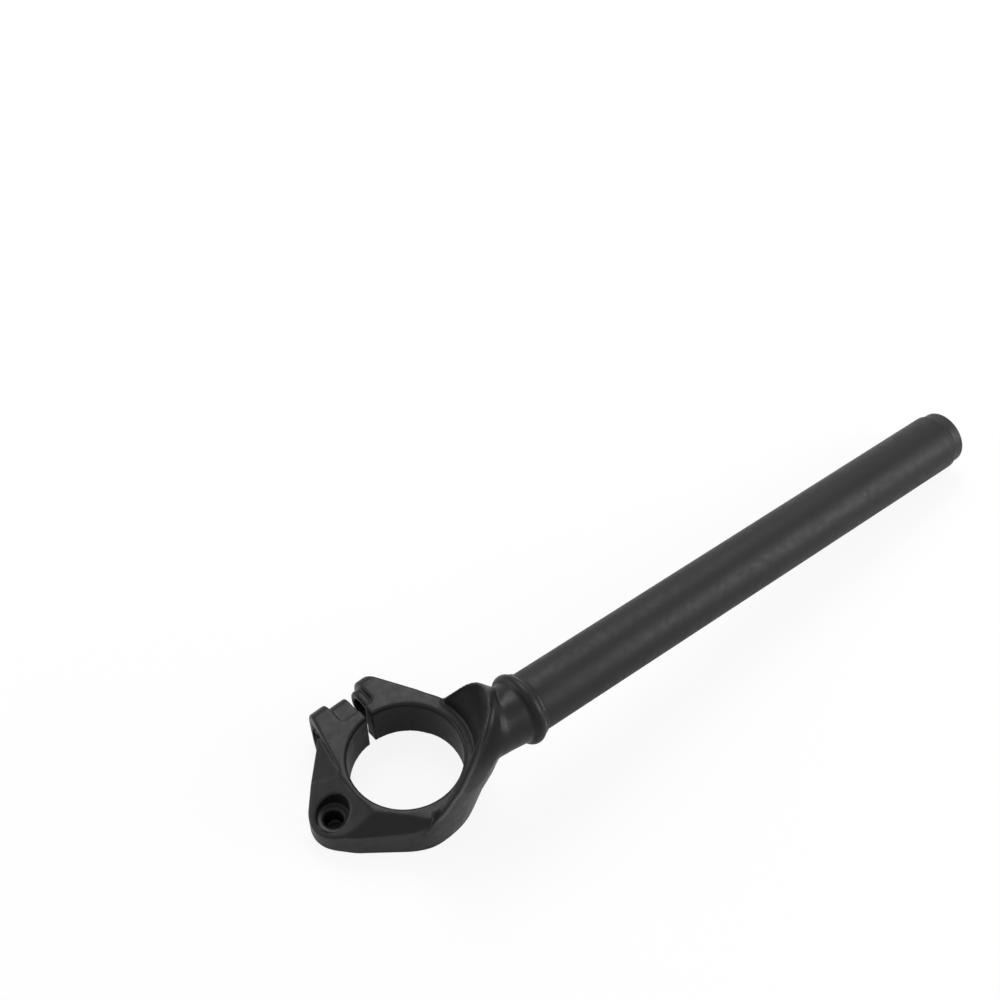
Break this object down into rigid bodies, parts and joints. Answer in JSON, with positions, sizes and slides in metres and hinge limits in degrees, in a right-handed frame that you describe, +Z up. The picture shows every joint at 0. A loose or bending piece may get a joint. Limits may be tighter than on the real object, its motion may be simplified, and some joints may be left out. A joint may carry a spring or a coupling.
{
  "type": "clip-on handlebar",
  "caption": "Clip-on motorbike handlebar: a cast split clamp for a fork tube, with a hooded neck carrying a straight hollow bar that droops to a threaded tip.",
  "frame": {"origin": "on the fork axis, at the underside of the clamp ring", "axes": "+Z up the fork tube through the clamp; +X the way the bar runs in plan; +Y from the bar towards the pinch ears"},
  "size_m": [0.2924, 0.0725, 0.0543],
  "materials": {
    "casting_black": "satin black coating over a fine cast grain",
    "bar_black": "semi-matt black coating",
    "insert_black": "satin black coating"
  },
  "bodies": {
    "root": {"clamp_casting": "casting_black", "bar_tube": "bar_black", "bar_end_insert": "insert_black"}
  },
  "joints": []
}
